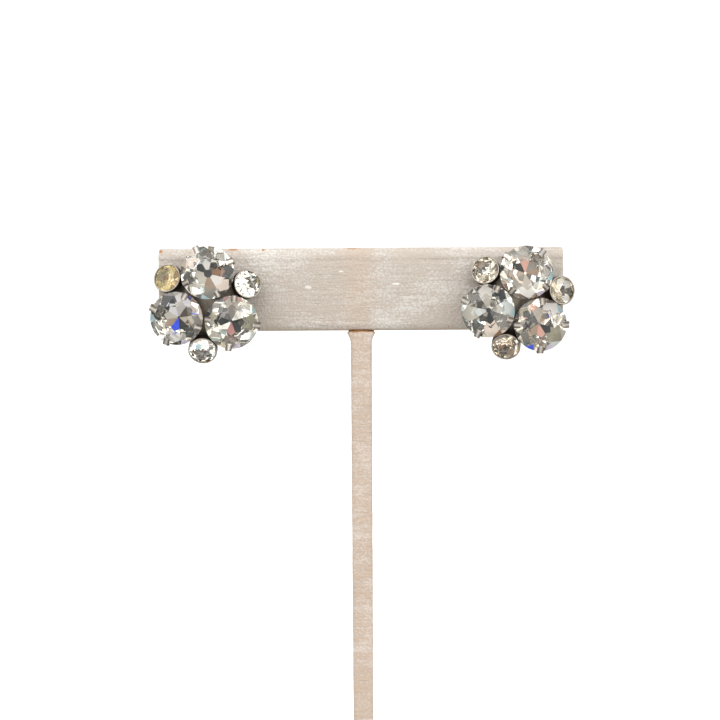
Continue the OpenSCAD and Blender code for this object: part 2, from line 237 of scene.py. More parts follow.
# A stone: its node, clock angle on the ring, turn of its facets, radius of its culet in millimetres, turn of
# its prongs, greys, and flashes, which are painted reflections. A flash has the clock angle where it shows
# from the front, its distance from the stone's middle as a share of the radius, and its colour
Stone = namedtuple("Stone", "node clock turn culet prongs greys flashes")
STONES = (
    Stone("left_large_top", 0, 12, 0.9, -28, QUIET, (
        (160, 0.1, "soot"), (85, 0.35, "brown"), (87, 0.65, "soot"), (129, 0.65, "peach"),
        (171, 0.35, "umber"), (174, 0.65, "smoke"), (215, 0.35, "ash"), (303, 0.35, "soot"),
        (293, 0.95, "peach"), (353, 0.3, "pearl"), (258, 0.3, "ash"), (131, 0.35, "pearl"),
        (176, 0.95, "sky"))),
    Stone("left_large_right", 120, 31, 0.3, -28, QUIET, (
        (0, 0.05, "soot"), (177, 0.35, "rose"), (128, 0.3, "soot"), (88, 0.65, "moss"), (280, 0.3, "soot"),
        (292, 0.95, "soot"), (63, 0.95, "sky"), (198, 0.95, "straw"), (166, 0.95, "lilac"),
        (355, 0.3, "smoke"), (6, 0.65, "ash"), (130, 0.95, "mist"))),
    Stone("left_large_left", 240, 5, 0.25, 48, QUIET, (
        (50, 0.15, "soot"), (169, 0.25, "blue"), (128, 0.35, "soot"), (94, 0.7, "smoke"),
        (242, 0.25, "umber"), (338, 0.7, "soot"), (159, 0.95, "lilac"), (284, 0.95, "sky"),
        (302, 0.3, "ash"), (353, 0.38, "pearl"), (18, 0.7, "pearl"), (20, 0.4, "ash"),
        (340, 0.95, "smoke"), (0, 0.95, "ash"))),
    Stone("left_small_right", 60, 10, 0.2, None, FRESH, (
        (20, 0.95, "honey"), (65, 0.95, "honey"), (95, 0.95, "honey"), (138, 0.95, "moss"))),
    Stone("left_small_bottom", 180, 35, 0.2, None, FRESH, (
        (325, 0.6, "peach"), (158, 0.95, "brown"), (292, 0.3, "sky"))),
    Stone("left_small_left", 300, 20, 0.25, None, DULLED, ((278, 0.6, "moss"), (264, 0.2, "brown"))),
    Stone("right_large_top", 0, 20, 0.3, 25, QUIET, (
        (351, 0.35, "salmon"), (37, 0.3, "smoke"), (307, 0.35, "soot"), (82, 0.3, "umber"),
        (281, 0.95, "soot"), (236, 0.95, "brown"), (143, 0.95, "lilac"), (98, 0.95, "sky"),
        (177, 0.33, "ash"), (175, 0.65, "pearl"))),
    Stone("right_large_right", 120, 8, 0.25, 45, QUIET, (
        (190, 0.28, "salmon"), (128, 0.25, "soot"), (127, 0.65, "moss"), (235, 0.3, "umber"),
        (49, 0.95, "sky"), (336, 0.95, "moss"), (281, 0.95, "soot"), (160, 0.95, "lilac"),
        (205, 0.95, "blue"), (350, 0.3, "ash"), (31, 0.66, "pearl"), (115, 0.95, "ash"),
        (137, 0.95, "mist"))),
    Stone("right_large_left", 240, 39, 0.55, 38, QUIET, (
        (0, 0.1, "soot"), (32, 0.68, "soot"), (177, 0.3, "soot"), (127, 0.65, "smoke"), (172, 0.65, "peach"),
        (78, 0.65, "mist"), (158, 0.95, "brown"), (347, 0.38, "ash"), (355, 0.65, "pearl"),
        (264, 0.65, "ash"), (95, 0.95, "sky"))),
    Stone("right_small_right", 60, 25, 0.2, None, WARM, (
        (37, 0.6, "pearl"), (312, 0.8, "moss"), (150, 0.5, "pearl"))),
    Stone("right_small_bottom", 180, 0, 0.2, None, WARM, (
        (120, 0.6, "umber"), (270, 0.3, "brown"), (337, 0.7, "smoke"))),
    Stone("right_small_left", 300, 40, 0.2, None, DIM, ((311, 0.6, "umber"), (239, 0.95, "moss"))),
)

# Worn flecks, and pale scuffs that are rubbed wear with a painted sheen, of the bar's front: middle along X
# and Z, half length and half height, in mm
FLECKS = ((-1.7, 145.95, 2.0, 0.28), (-27.6, 145.8, 1.6, 0.25), (-21.0, 145.7, 0.45, 0.3),
          (-43.0, 145.5, 0.5, 0.5), (18.8, 129.0, 0.2, 0.2), (0.0, 128.25, 3.2, 0.3))
SCUFFS_AND_SHEEN = ((-11.3, 137.6, 0.9, 0.45), (7.5, 138.3, 1.1, 0.3), (-4.2, 141.0, 0.6, 0.25))


def adder(tree):
    """Gives the function that adds nodes to a tree."""
    def add(kind, links=None, operation=None, out=0, stops=(), **settings):
        """Adds a node with its settings and links, and gives the output that the next node reads."""
        whole = kind.startswith(("Geometry", "Function", "Node"))
        made = tree.nodes.new(kind if whole else "ShaderNode" + kind)
        if operation:
            made.operation = operation
        for name, value in settings.items():
            setattr(made, name, value)
        ramp = made.color_ramp.elements if stops else ()
        while len(ramp) < len(stops):
            ramp.new(1.0)
        for element, (position, value) in zip(ramp, stops):
            element.position = position
            element.color = (*value[:3], 1.0)
        for key, value in (links or {}).items():
            if isinstance(value, bpy.types.NodeSocket):
                tree.links.new(value, made.inputs[key])
            else:
                made.inputs[key].default_value = value
        return made.outputs[out] if made.outputs else None
    return add


def new_material(name):
    """Empty material with nodes, and the function that adds its nodes."""
    made = bpy.data.materials.new(name)
    made.use_nodes = True
    made.node_tree.nodes.clear()
    return made, adder(made.node_tree)


def millimetre_coordinates(add):
    """Object coordinates in millimetres."""
    return add("VectorMath", {0: add("TexCoord", out="Object"), "Scale": 1 / MM}, "SCALE")


def fleck_mask(add, place, flecks):
    """One inside a fleck on the bar's front and nought outside, with a torn edge."""
    depth = 4.5  # how many millimetres behind the front a fleck reaches
    tear_reach, whole, gone = 1.6, 1.45, 1.75  # how far the edge wanders, and where a fleck fades out
    tear = add("TexNoise", {"Vector": place, "Scale": 2.2, "Detail": 3.0})
    worn = 0.0
    for x, z, half_length, half_height in flecks:
        away = add("VectorMath", {0: place, 1: (x, BAR_LOW.y / MM, z)}, "SUBTRACT")
        away = add("VectorMath", {0: away, 1: (half_length, depth, half_height)}, "DIVIDE")
        reach = add("VectorMath", {0: away}, "LENGTH", out="Value")
        torn = add("Math", {0: tear, 1: tear_reach, 2: reach}, "MULTIPLY_ADD")
        mask = add("MapRange", {0: torn, 1: whole, 2: gone, 3: 1.0, 4: 0.0})
        worn = add("Math", {0: worn, 1: mask}, "MAXIMUM")
    return worn


def embossed_leatherette(name, finishes, streaks, worn=False, band=None, stain_and_shade=None, clouds=0.5):
    """PVC leatherette, calendered and embossed: satin, with a pebble grain and soft pulled wrinkles, and
    painted shade in the hollows between the pebbles.

    streaks is the stretch of the wrinkles for each millimetre along X, Y and Z. band is the middle, half
    width and strength of the rosy cast along X. stain is the height where a colour starts and where it is
    full, and that colour: real glue at the top of the post, painted shade along the bar's lower edge.
    clouds is how far the broad mottling goes to either side of its mean.
    """
    made, add = new_material(name)
    place = millimetre_coordinates(add)
    # Pebbles are about half a millimetre across, with finer pores on them
    pebbles = add("TexVoronoi", {"Vector": place, "Scale": 1 / 0.55, "Randomness": 0.9})
    pores = add("TexNoise", {"Vector": place, "Scale": 1 / 0.35, "Detail": 2.0})
    pulled = add("VectorMath", {0: place, 1: streaks}, "MULTIPLY")
    wrinkles = add("TexNoise", {"Vector": pulled, "Scale": 1.0, "Detail": 4.0, "Roughness": 0.62,
                                "Distortion": 0.8})
    mottle = add("TexNoise", {"Vector": place, "Scale": 1 / 9, "Detail": 2.0})
    mottle = add("MapRange", {0: mottle, 3: 0.5 - clouds, 4: 0.5 + clouds})
    tone = add("Math", {0: wrinkles, 1: 0.9, 2: mottle}, "MULTIPLY_ADD")
    tone = add("MapRange", {0: tone, 1: 0.7, 2: 1.2})
    # Painted shade in the grain: the hollows between the pebbles are darkened
    pit_shade = add("MapRange", {0: pebbles, 1: 0.25, 2: 0.7, 3: 0.0, 4: 0.6})

    # Layers over the light ivory, from the bottom up: where each covers, and its colour
    layers = [(add("Math", {0: tone, 1: pit_shade}, "ADD", use_clamp=True), finishes.ivory_dark)]
    axes = add("SeparateXYZ", {0: place}).node.outputs
    if band:
        middle, half_width, strength = band
        off = add("Math", {0: axes["X"], 1: middle}, "SUBTRACT")
        off = add("Math", {0: off}, "ABSOLUTE")
        rosy = add("MapRange", {0: off, 1: half_width, 2: 0.0, 3: 0.0, 4: strength},
                   interpolation_type="SMOOTHSTEP")
        layers.append((add("Math", {0: rosy, 1: wrinkles}, "MULTIPLY"), finishes.ivory_rose))
    if stain_and_shade:
        start, full, stain_and_shade_colour = stain_and_shade
        edge = add("TexNoise", {"Vector": place, "Scale": 0.8})
        level = add("Math", {0: edge, 1: 0.5, 2: axes["Z"]}, "MULTIPLY_ADD")
        layers.append((add("MapRange", {0: level, 1: start + 0.25, 2: full + 0.25}), stain_and_shade_colour))
    if worn:
        # Scuffs: rubbed wear with a painted sheen, paler than the cover
        rubbed = add("Math", {0: fleck_mask(add, place, SCUFFS_AND_SHEEN), 1: 0.55}, "MULTIPLY")
        layers += [(rubbed, finishes.scuff_and_sheen), (fleck_mask(add, place, FLECKS), finishes.core)]
    base = finishes.ivory_light
    for cover, over in layers:
        base = add("Mix", {0: cover, 6: base, 7: over}, out=2, data_type="RGBA")

    rough = add("MapRange", {0: pores, 1: 0.3, 2: 0.7, 3: 0.42, 4: 0.6})
    normal = add("Bump", {"Height": wrinkles, "Distance": 0.2 * MM})
    normal = add("Bump", {"Height": pebbles, "Distance": 0.1 * MM, "Normal": normal}, invert=True)
    normal = add("Bump", {"Height": pores, "Distance": 0.03 * MM, "Normal": normal})
    surface = add("BsdfPrincipled", {"Base Color": base, "Roughness": rough, "Normal": normal, "IOR": 1.5,
                                     "Coat Weight": 0.12, "Coat Roughness": 0.35})
    add("OutputMaterial", {"Surface": surface})
    return made


def rhodium_plate(name, finishes):
    """Rhodium plate on cast brass: bright plating with a thin brown tarnish, and painted shade that darkens
    it to near black in the gaps, under the stones and along the edges of prongs and rims; the clean crowns of
    prongs and rims are left bright as painted highlights.

    The film attribute is nought on clean plating and one where the painted shade is darkest; between, it is
    real tarnish and painted shade together.
    """
    made, add = new_material(name)
    place = millimetre_coordinates(add)
    film = add("Attribute", out="Fac", attribute_name="film")
    blotches = add("TexNoise", {"Vector": place, "Scale": 1 / 1.4, "Detail": 4.0})
    scratches = add("TexNoise", {"Vector": place, "Scale": 1 / 0.2, "Detail": 2.0})
    spots = add("MapRange", {0: blotches, 1: 0.5, 2: 0.75, 3: 0.0, 4: 0.2})
    dull_and_shade = add("Math", {0: film, 1: spots}, "ADD", use_clamp=True)
    base = add("ValToRGB", {0: dull_and_shade}, stops=(
        (0.0, finishes.rhodium), (0.5, finishes.tarnish), (1.0, finishes.gap_shade)))
    rough = add("MapRange", {0: dull_and_shade, 3: 0.16, 4: 0.5})
    normal = add("Bump", {"Height": scratches, "Distance": 0.006 * MM})
    surface = add("BsdfPrincipled", {"Base Color": base, "Metallic": 1.0, "Roughness": rough,
                                     "Normal": normal})
    add("OutputMaterial", {"Surface": surface})
    return made


def lead_crystal(name, tint, roughness):
    """Lead glass, pressed and polished: water clear, with strong refraction."""
    made, add = new_material(name)
    surface = add("BsdfPrincipled", {"Base Color": tint, "Roughness": roughness, "IOR": 1.56,
                                     "Transmission Weight": 1.0})
    add("OutputMaterial", {"Surface": surface})
    return made


def silver_foil(name, roughness):
    """Silver foiling on the back of a rhinestone: a mirror, with painted reflections on some facets.

    The flash attribute is a facet's colour. Its alpha is one on bare silver, which sparkles, and nought on a
    painted reflection, a satin colour that shows from any side.
    """
    made, add = new_material(name)
    tint = add("Attribute", out="Color", attribute_name="flash")
    bare = tint.node.outputs["Alpha"]
    metallic = add("MapRange", {0: bare, 3: 0.3, 4: 1.0})
    rough = add("MapRange", {0: bare, 2: 0.3, 3: 0.45, 4: roughness})
    surface = add("BsdfPrincipled", {"Base Color": tint, "Metallic": metallic, "Roughness": rough,
                                     "Specular IOR Level": 0.0})
    add("OutputMaterial", {"Surface": surface})
    return made


def link_object(name, data):
    made = bpy.data.objects.new(name, data)
    bpy.context.scene.collection.objects.link(made)
    return made


def make_piece(name, shape, materials, sharp_from=None):
    """Turns a bmesh into an object whose faces point outwards, smooth up to the given angle."""
    bmesh.ops.recalc_face_normals(shape, faces=shape.faces)
    mesh = bpy.data.meshes.new(name)
    shape.to_mesh(mesh)
    shape.free()
    for made in materials:
        mesh.materials.append(made)
    mesh.polygons.foreach_set("use_smooth", [sharp_from is not None] * len(mesh.polygons))
    if sharp_from is not None:
        mesh.set_sharp_from_angle(angle=sharp_from)
    return link_object(name, mesh)


def flattened(piece):
    """Puts the result of the modifiers into the piece's own mesh, and gives the mesh."""
    depsgraph = bpy.context.evaluated_depsgraph_get()
    result = bpy.data.meshes.new_from_object(piece.evaluated_get(depsgraph))
    result.name = piece.name
    piece.modifiers.clear()
    piece.data = result
    return result


def stands_for(piece, slot, node):
    """Rides on the stand's body and replaces a CAD node, which it hides. The slot argument is not used."""
    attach(piece, BODY)
    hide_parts(node)


def soft_loop(width, height, radii, arc_steps, side_steps):
    """Points round a rectangle with round corners. The corners run from the lower right one upwards."""
    arcs = []
    for index, (side, level) in enumerate(((1, -1), (1, 1), (-1, 1), (-1, -1))):
        radius = radii[index]
        centre = Vector((side * (width / 2 - radius), level * (height / 2 - radius)))
        turns = [math.radians(90 * (index - 1 + step / arc_steps)) for step in range(arc_steps + 1)]
        arcs.append([centre + radius * Vector((math.cos(a), math.sin(a))) for a in turns])
    loop = []
    for index, arc in enumerate(arcs):
        steps = side_steps[index % 2]
        ahead = arcs[(index + 1) % 4][0]
        loop += arc + [arc[-1].lerp(ahead, step / steps) for step in range(1, steps)]
    return loop


def loft(rings):
    """Skins closed rings of points and closes both ends."""
    shape = bmesh.new()
    rows = [[shape.verts.new(point) for point in ring] for ring in rings]
    for low, high in zip(rows, rows[1:]):
        for i in range(len(low)):
            shape.faces.new((low[i - 1], low[i], high[i], high[i - 1]))
    shape.faces.new(reversed(rows[0]))
    shape.faces.new(rows[-1])
    return shape


def filmed_and_shaded(shape, film_and_shade_at):
    """Gives each vertex its tarnish and painted shade, from nought to one, from its place."""
    layer = shape.verts.layers.float.new("film")
    for vertex in shape.verts:
        vertex[layer] = max(0.0, min(1.0, film_and_shade_at(vertex.co)))
    return shape


def pulled_noise(place, along, seed):
    """Noise from -1 to 1 whose features have the given sizes in millimetres along X, Y and Z."""
    x, y, z = (part / (size * MM) for part, size in zip(place, along))
    return noise.noise(Vector((x, y, z + seed)))


def build_cover(name, cover, rings, waves, sizes, socket=None):
    """A covered piece of the stand: its skin, moved out by its waves, with a square socket for the post."""
    shape = loft(rings)
    bmesh.ops.recalc_face_normals(shape, faces=shape.faces)
    shape.normal_update()
    moved = [(vertex, vertex.co + vertex.normal * waves(sizes, vertex.co)) for vertex in shape.verts]
    for vertex, place in moved:
        vertex.co = place
    piece = make_piece(name + "_cover", shape, [cover], COVER_SHARP)
    if socket:
        width, low, high = socket
        width += 2 * SOCKET_GAP
        block = bmesh.new()
        bmesh.ops.create_cube(block, size=1.0, matrix=Matrix.Translation((0, 0, (low + high) / 2))
                              @ Matrix.Diagonal((width, width, high - low, 1)))
        cutter = make_piece("socket", block, [])
        cut = piece.modifiers.new("socket", "BOOLEAN")
        cut.object, cut.operation, cut.solver = cutter, "DIFFERENCE", "MANIFOLD"
        flattened(piece)
        bpy.data.objects.remove(cutter)
    stands_for(piece, "cover", name)


def bar_rings(sizes):
    """Side views of the bar from end to end, with soft ends and a face that swells a little."""
    half = Vector((sizes.bar_length, sizes.bar_depth, sizes.bar_height)) / 2
    low, top = sizes.low_round, sizes.top_round
    section = []
    for point in soft_loop(sizes.bar_depth, sizes.bar_height, (low, top, top, low), 10, (46, 6)):
        front = max(0.0, -point.x / half.y)
        section.append(Vector((point.x + front * sizes.face_rise * (point.y / half.z) ** 2, point.y)))

    # Stations from the middle of one end round to the long faces: place, inset and share of the end
    cap_steps, arc_steps, long_steps = 6, 5, 260
    inner = half.x - END_ROUND
    stations = [(half.x, END_ROUND, step / cap_steps) for step in range(1, cap_steps)]
    for step in range(arc_steps + 1):
        a = math.pi / 2 * step / arc_steps
        stations.append((inner + END_ROUND * math.cos(a), END_ROUND * (1 - math.sin(a)), 1.0))
    middle = [(inner - 2 * inner * step / long_steps, 0.0, 1.0) for step in range(1, long_steps)]
    mirrored = [(-x, inset, scale) for x, inset, scale in reversed(stations)]
    rings = []
    for x, inset, scale in stations + middle + mirrored:
        narrow, short = scale * (1 - inset / half.y), scale * (1 - inset / half.z)
        rings.append([Vector((x, point.x * narrow, BAR_MIDDLE + point.y * short)) for point in section])
    return rings


def bar_waves(sizes, place):
    """Soft wrinkles along the bar, and on its front a wandering crease below the upper edge."""
    broad = pulled_noise(place, (26, 4, 4.5), 3)
    fine = pulled_noise(place, (9, 1.5, 1.3), 11)
    wander = noise.noise(Vector((place.x / (7 * MM), 0, 41)))
    fade = 1 + noise.noise(Vector((place.x / (11 * MM), 0, 57)))
    off = (place.z - BAR_HIGH.z + CREASE_DROP) / CREASE_WIDTH - 0.9 * wander
    crease = sizes.crease * fade * math.exp(-off ** 2) if place.y < 0 else 0.0
    return sizes.wrinkle * (0.8 * broad + 0.35 * fine) - crease


def post_rings(sizes):
    """Square rings up the post: a spread under the bar, a lip of dried glue and the tenon in the bar."""
    shoulder, depth = BAR_LOW.z - SOCKET_GAP, sizes.post_width
    glue_from, glue_top = shoulder - GLUE_HEIGHT, shoulder + SOCKET_GAP / 2
    glue_inset, glue_slope, tenon_round = 0.12 * MM, 0.2 * MM, 0.1 * MM
    reach, tall = sizes.flare_reach, sizes.flare_height
    sweep = (tall ** 2 + reach ** 2) / (2 * reach)
    flare_from = glue_from - tall

    def square(z, width, depth, radius=POST_ROUND):
        return [Vector((*point, z)) for point in soft_loop(width, depth, (radius,) * 4, 4, (8, 10))]

    def width_at(z):
        steady = (z - BASE_HIGH.z) / (shoulder - BASE_HIGH.z) - 0.5
        spread = sweep - math.sqrt(sweep ** 2 - max(0.0, z - flare_from) ** 2)
        return sizes.post_width + POST_TAPER * max(-0.5, min(0.5, steady)) + 2 * spread

    straight_steps, flare_steps = 250, 12
    heights = [POST_LOW.z + (flare_from - POST_LOW.z) * i / straight_steps for i in range(straight_steps)]
    heights += [flare_from + tall * i / flare_steps for i in range(flare_steps + 1)]
    rings = [square(z, width_at(z), depth) for z in heights]
    for z, inset in ((glue_from, glue_inset), (glue_top, glue_inset + glue_slope)):
        rings.append(square(z, width_at(glue_from) - 2 * inset, depth - 2 * inset))
    return rings + [square(z, TENON_WIDTH, TENON_WIDTH, tenon_round) for z in (glue_top, POST_HIGH.z)]


def post_waves(sizes, place):
    """Soft rings where the cover was wound round the post."""
    if place.z > BAR_LOW.z - SOCKET_GAP - 1.5 * GLUE_HEIGHT:
        return 0.0
    broad, fine = pulled_noise(place, (6, 6, 5), 5), pulled_noise(place, (5, 5, 1.1), 17)
    return sizes.wrinkle * (0.7 * broad + 0.4 * fine)


def base_rings(sizes):
    """Outlines of the base from the middle of its underside round to the middle of its top."""
    edge, (width, depth, height) = sizes.base_edge, BASE_SIZE
    arc_steps, flat_steps, wall_steps = 7, 14, 8
    under = [(edge, 0.0, step / flat_steps) for step in range(1, flat_steps)]
    for step in range(arc_steps + 1):
        a = math.pi / 2 * step / arc_steps
        under.append((edge * (1 - math.sin(a)), edge * (1 - math.cos(a)), 1.0))
    wall = [(0.0, edge + (height - 2 * edge) * step / wall_steps, 1.0) for step in range(1, wall_steps)]
    top = [(inset, height - z, scale) for inset, z, scale in reversed(under)]
    rings = []
    for inset, z, scale in under + wall + top:
        radii = (sizes.base_corner - inset,) * 4
        loop = soft_loop(width - 2 * inset, depth - 2 * inset, radii, 8, (40, 50))
        rings.append([Vector((*(point * scale), z)) for point in loop])
    return rings


def base_waves(sizes, place):
    """Slight waves of the cover on the base, none on its underside."""
    return 0.0 if place.z < sizes.base_edge else sizes.wrinkle * pulled_noise(place, (8, 8, 5), 23)


def circle_point(radius, degrees, height):
    a = math.radians(degrees)
    return Vector((radius * math.cos(a), radius * math.sin(a), height))


def cut_heights(stones, size):
    """Heights over the girdle's middle of the crown's and the pavilion's main facets, from their reach."""
    diameter = stones.diameter[size]
    girdle, radius = diameter * GIRDLE / 2, diameter / 2

    def crown(reach):
        return girdle + diameter * stones.crown * (1 - reach / radius) / (1 - stones.table)

    def pavilion(reach):
        return -girdle - diameter * stones.pavilion * (1 - reach / radius)
    return crown, pavilion


def stone_facets(stones, size, culet_radius):
    """Facets of a round brilliant as (points, is_pavilion): the girdle is round, so its edges scallop."""
    crown, pavilion = cut_heights(stones, size)
    radius, half = stones.diameter[size] / 2, 22.5

    def ring(reach, height, count=8, off=0.0):
        """Corners on a ring, level with the main facets. Those half way between lie on their edges."""
        level = height(reach * math.cos(math.radians(off)))
        return [circle_point(reach, 360 / count * i + off, level) for i in range(count)]

    table, stars = ring(radius * stones.table, crown), ring(radius * STAR_REACH, crown, 8, half)
    breaks, culet = ring(radius * BREAK_REACH, pavilion, 8, half), ring(culet_radius, pavilion, 8, half)
    along = (radius * KITE_REACH - culet_radius) / (radius * BREAK_REACH - culet_radius)
    waists = [inner.lerp(outer, along) for inner, outer in zip(culet, breaks)]
    tips = ring(radius * KITE_TIP, pavilion)
    high_rim, low_rim = ring(radius, crown, 16), ring(radius, pavilion, 16)

    def scallop(rim, index, tip):
        """Points of the round girdle between two corners, on the plane through them and a facet's tip."""
        first, last = rim[index], rim[(index + 1) % 16]
        normal = (first - tip).cross(last - tip)
        steps = 6
        curve = [first]
        for step in range(1, steps):
            point = circle_point(radius, half * (index + step / steps), 0)
            point.z = tip.z - (normal.x * (point.x - tip.x) + normal.y * (point.y - tip.y)) / normal.z
            curve.append(point)
        return curve + [last]

    facets = [(table, False), (culet[::-1], True)]
    for i in range(8):
        facets += [
            ([table[i], stars[i], table[(i + 1) % 8]], False),
            ([table[i], stars[i - 1], high_rim[2 * i], stars[i]], False),
            ([tips[i], waists[i - 1], culet[i - 1], culet[i], waists[i]], True),
            ([low_rim[2 * i], breaks[i - 1], waists[i - 1], tips[i], waists[i], breaks[i]], True),
        ]
        for index in (2 * i, 2 * i + 1):
            upper, lower = scallop(high_rim, index, stars[i]), scallop(low_rim, index, breaks[i])
            facets += [([stars[i]] + upper, False), ([breaks[i]] + lower[::-1], True)]
            facets += [([upper[k], lower[k], lower[k + 1], upper[k + 1]], False)
                       for k in range(len(upper) - 1)]
    return facets


def cluster_place(cluster, side):
    """Frame of the left or the right cluster: its Z faces the viewer and its Y points up the cluster."""
    origin = Vector((cluster.offset[side], BAR_LOW.y, BAR_MIDDLE - cluster.drop))
    turned = Matrix.Rotation(-cluster.turn[side], 4, "Z")
    return Matrix.Translation(origin) @ Matrix.Rotation(math.pi / 2, 4, "X") @ turned


def stone_place(cluster, side, size, clock):
    """Frame of a stone on its ring round the cluster's middle, leaning outwards, with Y outwards."""
    ring = (cluster.large_ring, cluster.small_ring)[size][side]
    return (cluster_place(cluster, side) @ Matrix.Rotation(-math.radians(clock), 4, "Z")
            @ Matrix.Translation((0, ring, cluster.lift[size]))
            @ Matrix.Rotation(-cluster.lean[size], 4, "X"))


def facet_tints(stone, facets, place, radius, bare, rng):
    """A colour for each facet: quiet greys, and the stone's painted reflections where they show from the
    front.
    """
    seen_depth = 0.5  # the glass makes the foil look about half as deep as it is
    tints = [(*linear(rng.choice(stone.greys))[:3], bare) for _ in facets]
    middles = {}
    for index, (points, is_pavilion) in enumerate(facets):
        if is_pavilion:
            middle = sum(points, Vector()) / len(points)
            middle.z *= seen_depth
            middles[index] = (place.to_3x3() @ middle).xz
    for clock, reach, tint in stone.flashes:
        a = math.radians(clock)
        aim = Vector((math.sin(a), math.cos(a))) * reach * radius
        nearest = min(middles, key=lambda index: (middles[index] - aim).length)
        # A painted reflection: the facet nearest where it shows takes its colour, as satin with no bare
        # silver
        tints[nearest] = (*linear(PAINTED_FLASHES[tint])[:3], 0.0)
    return tints


def build_stone(stone, stones, cluster, materials, rng):
    """One foiled rhinestone: clear crown, foiled pavilion, and a flat colour on each facet, some of them
    painted reflections.
    """
    side_name, size_name, _ = stone.node.split("_")
    size = SIZES.index(size_name)
    place = (stone_place(cluster, SIDES.index(side_name), size, stone.clock)
             @ Matrix.Rotation(math.radians(stone.turn), 4, "Z"))
    facets = stone_facets(stones, size, stone.culet * MM)
    bare = (0.8, 0.85)[size]  # how far the quiet facets are bare silver, which sparkles
    tints = facet_tints(stone, facets, place, stones.diameter[size] / 2, bare, rng)
    shape = bmesh.new()
    layer = shape.loops.layers.float_color.new("flash")
    known = {}
    for (points, is_pavilion), tint in zip(facets, tints):
        corners = []
        for point in points:
            key = tuple(round(part / MM, 4) for part in point)
            if key not in known:
                known[key] = shape.verts.new(place @ point)
            corners.append(known[key])
        face = shape.faces.new(corners)
        face.material_index = int(is_pavilion)
        for loop in face.loops:
            loop[layer] = tint
    return make_piece(stone.node + "_cut", shape, materials)


def lathe(profile, segments, film_and_shade_at):
    """Turns a profile that starts and ends on the axis about Z."""
    shape = bmesh.new()
    rows = []
    for radius, height in profile:
        count = 1 if radius == 0 else segments
        rows.append([shape.verts.new(circle_point(radius, 360 * i / segments, height)) for i in range(count)])
    for low, high in zip(rows, rows[1:]):
        for i in range(segments):
            j = (i + 1) % segments
            corners = [low[i % len(low)], low[j % len(low)], high[j % len(high)], high[i % len(high)]]
            shape.faces.new(list(dict.fromkeys(corners)))
    return filmed_and_shaded(shape, film_and_shade_at)


def rounded_path(corners, step):
    """Points along straight runs joined by arcs. Each corner is (along, up, radius)."""
    points = [Vector(corners[0][:2])]
    for before, corner, after in zip(corners, corners[1:], corners[2:]):
        here, radius = Vector(corner[:2]), corner[2]
        back = (Vector(before[:2]) - here).normalized()
        ahead = (Vector(after[:2]) - here).normalized()
        bend = back.angle(ahead)
        trim = radius / math.tan(bend / 2)
        middle = here + (back + ahead).normalized() * radius / math.sin(bend / 2)
        start, end = here + back * trim - middle, here + ahead * trim - middle
        turn = start.angle_signed(end)
        count = max(3, math.ceil(abs(turn) * radius / step))
        points += [middle + Matrix.Rotation(-turn * i / count, 2) @ start for i in range(count + 1)]
    points.append(Vector(corners[-1][:2]))
    dense = [points[0]]
    for point in points[1:]:
        gap = (point - dense[-1]).length
        if gap >= step * 0.05:
            last, count = dense[-1].copy(), max(1, math.ceil(gap / step))
            dense += [last.lerp(point, i / count) for i in range(1, count + 1)]
    return dense


def sweep_strip(path, half_width_at, section_at):
    """Sweeps a section along a path in the XZ plane; the section's width runs along Y."""
    rings = []
    for i, point in enumerate(path):
        ahead = (path[min(i + 1, len(path) - 1)] - path[max(i - 1, 0)]).normalized()
        rings.append([Vector((point.x - ahead.y * p.y, p.x, point.y + ahead.x * p.y))
                      for p in section_at(half_width_at(i))])
    return loft(rings)


def prong_shape(stones, sizes, crowded, shade):
    """A prong pointing along X: a crowned tab that comes up past the girdle and folds over the crown."""
    crown, pavilion = cut_heights(stones, LARGE)
    radius, thick, half = stones.diameter[LARGE] / 2, sizes.prong_thick[crowded], sizes.prong_width / 2
    outside = radius + sizes.prong_stand[crowded] + thick / 2
    root, end, shoulder = radius - 0.75 * MM, radius - sizes.prong_fold, crown(radius)
    nose, section_steps = 0.5 * MM, 8
    path = rounded_path([
        (root, pavilion(root) - CUP_GAP - sizes.cup_wall / 2, 0),
        (outside, -0.45 * MM, 0.35 * MM),
        (outside, shoulder + 0.1 * MM + thick / 2, 0.3 * MM),
        (end, crown(end) + TIP_RISE + thick * 0.35, 0),
    ], 0.12 * MM)
    travelled = [0.0]
    for before, point in zip(path, path[1:]):
        travelled.append(travelled[-1] + (point - before).length)

    def half_width_at(i):
        left = min(nose, travelled[-1] - travelled[i])
        return half * (0.3 + 0.7 * math.sqrt(max(0.0, 1 - (1 - left / nose) ** 2)))

    def section_at(half_width):
        """Square below, with a top that rounds over to both sides."""
        section = [Vector((side * half_width, -thick / 2)) for side in (-1, 0, 1)]
        for step in range(section_steps + 1):
            across = math.cos(math.pi * step / section_steps)
            drop = PRONG_CROWN * across ** 2 + 0.25 * thick * abs(across) ** 6
            section.append(Vector((half_width * across, thick / 2 + PRONG_CROWN / 2 - drop)))
        return section

    # Painted shade: the prong's sides, the part below the shoulder and the nose's edge are darkened as dark
    # outlines, and the crown is left bright as a painted highlight
    def film_and_shade_at(place):
        side = (abs(place.y) / half) ** 6
        depth = (shoulder - 0.1 * MM - place.z) / (0.7 * MM)
        nose_edge = 1 - (place.x - end) / (0.12 * MM)
        return shade + max(0.9 * side, depth, 0.7 * nose_edge)
    return filmed_and_shaded(sweep_strip(path, half_width_at, section_at), film_and_shade_at)


